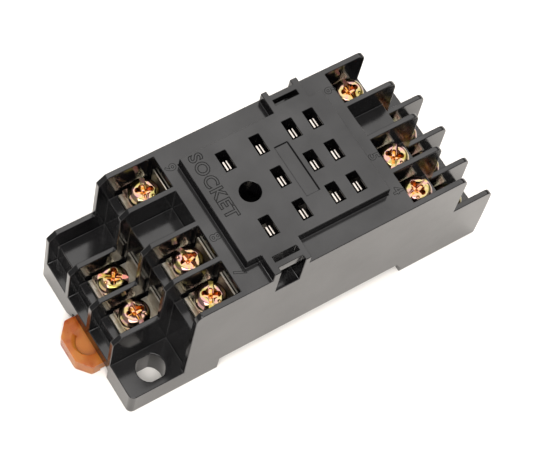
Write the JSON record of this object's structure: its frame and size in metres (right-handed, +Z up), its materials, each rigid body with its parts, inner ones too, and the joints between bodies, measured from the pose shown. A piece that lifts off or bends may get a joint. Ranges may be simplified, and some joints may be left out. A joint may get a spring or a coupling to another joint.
{
  "type": "relay socket",
  "caption": "DIN-rail and panel mount relay socket: stepped screw terminals at both ends, a slotted seat for a plug-in relay, and a sliding rail clip.",
  "frame": {"origin": "bottom centre of the whole object's box, the sliding clip's tab included", "axes": "+X along the socket, away from the sliding clip; +Z up out of the relay seat; +Y across"},
  "size_m": [0.0754, 0.0292, 0.0301],
  "materials": {
    "black_plastic": "smooth moulded black thermoplastic, semi-gloss",
    "amber_plastic": "translucent amber moulded plastic",
    "strap_metal": "nickel-plated brass strip",
    "clip_metal": "plain phosphor bronze strip",
    "washer_zinc": "yellow passivated zinc on pressed steel",
    "screw_zinc": "iridescent yellow passivated zinc on steel"
  },
  "bodies": {
    "socket": {"housing": "black_plastic", "base_plate": "black_plastic", "terminal_strap_01": "strap_metal", "terminal_strap_02": "strap_metal", "terminal_strap_03": "strap_metal", "terminal_strap_04": "strap_metal", "terminal_strap_05": "strap_metal", "terminal_strap_06": "strap_metal", "terminal_strap_07": "strap_metal", "terminal_strap_08": "strap_metal", "terminal_strap_09": "strap_metal", "terminal_strap_10": "strap_metal", "terminal_strap_11": "strap_metal", "contact_clip_01": "clip_metal", "contact_clip_02": "clip_metal", "contact_clip_03": "clip_metal", "contact_clip_04": "clip_metal", "contact_clip_05": "clip_metal", "contact_clip_06": "clip_metal", "contact_clip_07": "clip_metal", "contact_clip_08": "clip_metal", "contact_clip_09": "clip_metal", "contact_clip_10": "clip_metal", "contact_clip_11": "clip_metal"},
    "lock_slide": {"din_lock_slider": "amber_plastic"},
    "washer_01": {"clamp_washer_01": "washer_zinc"},
    "screw_01": {"terminal_screw_01": "screw_zinc"},
    "washer_02": {"clamp_washer_02": "washer_zinc"},
    "screw_02": {"terminal_screw_02": "screw_zinc"},
    "washer_03": {"clamp_washer_03": "washer_zinc"},
    "screw_03": {"terminal_screw_03": "screw_zinc"},
    "washer_04": {"clamp_washer_04": "washer_zinc"},
    "screw_04": {"terminal_screw_04": "screw_zinc"},
    "washer_05": {"clamp_washer_05": "washer_zinc"},
    "screw_05": {"terminal_screw_05": "screw_zinc"},
    "washer_06": {"clamp_washer_06": "washer_zinc"},
    "screw_06": {"terminal_screw_06": "screw_zinc"},
    "washer_07": {"clamp_washer_07": "washer_zinc"},
    "screw_07": {"terminal_screw_07": "screw_zinc"},
    "washer_08": {"clamp_washer_08": "washer_zinc"},
    "screw_08": {"terminal_screw_08": "screw_zinc"},
    "washer_09": {"clamp_washer_09": "washer_zinc"},
    "screw_09": {"terminal_screw_09": "screw_zinc"},
    "washer_10": {"clamp_washer_10": "washer_zinc"},
    "screw_10": {"terminal_screw_10": "screw_zinc"},
    "washer_11": {"clamp_washer_11": "washer_zinc"},
    "screw_11": {"terminal_screw_11": "screw_zinc"}
  },
  "joints": [
    {"name": "din_lock_slide", "type": "slide", "parent": "socket", "child": "lock_slide", "axis": [-1, 0, 0], "range_m": [0, 0.004], "stiffness_N_per_m": 1200, "springref_m": -0.002},
    {"name": "clamp_lift_01", "type": "slide", "parent": "socket", "child": "washer_01", "axis": [0, 0, 1], "range_m": [0, 0.0025]},
    {"name": "screw_turn_01", "type": "hinge", "parent": "washer_01", "child": "screw_01", "pos_m": [0.03112, -0.01056, 0.011], "axis": [0, 0, 1], "range_deg": [0, 1800]},
    {"name": "clamp_lift_02", "type": "slide", "parent": "socket", "child": "washer_02", "axis": [0, 0, 1], "range_m": [0, 0.0025]},
    {"name": "screw_turn_02", "type": "hinge", "parent": "washer_02", "child": "screw_02", "pos_m": [0.03112, -0.00352, 0.011], "axis": [0, 0, 1], "range_deg": [0, 1800]},
    {"name": "clamp_lift_03", "type": "slide", "parent": "socket", "child": "washer_03", "axis": [0, 0, 1], "range_m": [0, 0.0025]},
    {"name": "screw_turn_03", "type": "hinge", "parent": "washer_03", "child": "screw_03", "pos_m": [0.03112, 0.00352, 0.011], "axis": [0, 0, 1], "range_deg": [0, 1800]},
    {"name": "clamp_lift_04", "type": "slide", "parent": "socket", "child": "washer_04", "axis": [0, 0, 1], "range_m": [0, 0.0025]},
    {"name": "screw_turn_04", "type": "hinge", "parent": "washer_04", "child": "screw_04", "pos_m": [0.02212, -0.01056, 0.022], "axis": [0, 0, 1], "range_deg": [0, 1800]},
    {"name": "clamp_lift_05", "type": "slide", "parent": "socket", "child": "washer_05", "axis": [0, 0, 1], "range_m": [0, 0.0025]},
    {"name": "screw_turn_05", "type": "hinge", "parent": "washer_05", "child": "screw_05", "pos_m": [0.02212, -0.00352, 0.022], "axis": [0, 0, 1], "range_deg": [0, 1800]},
    {"name": "clamp_lift_06", "type": "slide", "parent": "socket", "child": "washer_06", "axis": [0, 0, 1], "range_m": [0, 0.0025]},
    {"name": "screw_turn_06", "type": "hinge", "parent": "washer_06", "child": "screw_06", "pos_m": [0.02212, 0.01056, 0.022], "axis": [0, 0, 1], "range_deg": [0, 1800]},
    {"name": "clamp_lift_07", "type": "slide", "parent": "socket", "child": "washer_07", "axis": [0, 0, 1], "range_m": [0, 0.0025]},
    {"name": "screw_turn_07", "type": "hinge", "parent": "washer_07", "child": "screw_07", "pos_m": [-0.01827, -0.01056, 0.022], "axis": [0, 0, 1], "range_deg": [0, 1800]},
    {"name": "clamp_lift_08", "type": "slide", "parent": "socket", "child": "washer_08", "axis": [0, 0, 1], "range_m": [0, 0.0025]},
    {"name": "screw_turn_08", "type": "hinge", "parent": "washer_08", "child": "screw_08", "pos_m": [-0.01827, -0.00352, 0.022], "axis": [0, 0, 1], "range_deg": [0, 1800]},
    {"name": "clamp_lift_09", "type": "slide", "parent": "socket", "child": "washer_09", "axis": [0, 0, 1], "range_m": [0, 0.0025]},
    {"name": "screw_turn_09", "type": "hinge", "parent": "washer_09", "child": "screw_09", "pos_m": [-0.01827, 0.01056, 0.022], "axis": [0, 0, 1], "range_deg": [0, 1800]},
    {"name": "clamp_lift_10", "type": "slide", "parent": "socket", "child": "washer_10", "axis": [0, 0, 1], "range_m": [0, 0.0025]},
    {"name": "screw_turn_10", "type": "hinge", "parent": "washer_10", "child": "screw_10", "pos_m": [-0.02728, -0.00352, 0.011], "axis": [0, 0, 1], "range_deg": [0, 1800]},
    {"name": "clamp_lift_11", "type": "slide", "parent": "socket", "child": "washer_11", "axis": [0, 0, 1], "range_m": [0, 0.0025]},
    {"name": "screw_turn_11", "type": "hinge", "parent": "washer_11", "child": "screw_11", "pos_m": [-0.02728, 0.00352, 0.011], "axis": [0, 0, 1], "range_deg": [0, 1800]}
  ],
  "couplings": [
    {"joint": "screw_turn_01", "follows": "clamp_lift_01", "rad_per_m": 12566},
    {"joint": "screw_turn_02", "follows": "clamp_lift_02", "rad_per_m": 12566},
    {"joint": "screw_turn_03", "follows": "clamp_lift_03", "rad_per_m": 12566},
    {"joint": "screw_turn_04", "follows": "clamp_lift_04", "rad_per_m": 12566},
    {"joint": "screw_turn_05", "follows": "clamp_lift_05", "rad_per_m": 12566},
    {"joint": "screw_turn_06", "follows": "clamp_lift_06", "rad_per_m": 12566},
    {"joint": "screw_turn_07", "follows": "clamp_lift_07", "rad_per_m": 12566},
    {"joint": "screw_turn_08", "follows": "clamp_lift_08", "rad_per_m": 12566},
    {"joint": "screw_turn_09", "follows": "clamp_lift_09", "rad_per_m": 12566},
    {"joint": "screw_turn_10", "follows": "clamp_lift_10", "rad_per_m": 12566},
    {"joint": "screw_turn_11", "follows": "clamp_lift_11", "rad_per_m": 12566}
  ]
}
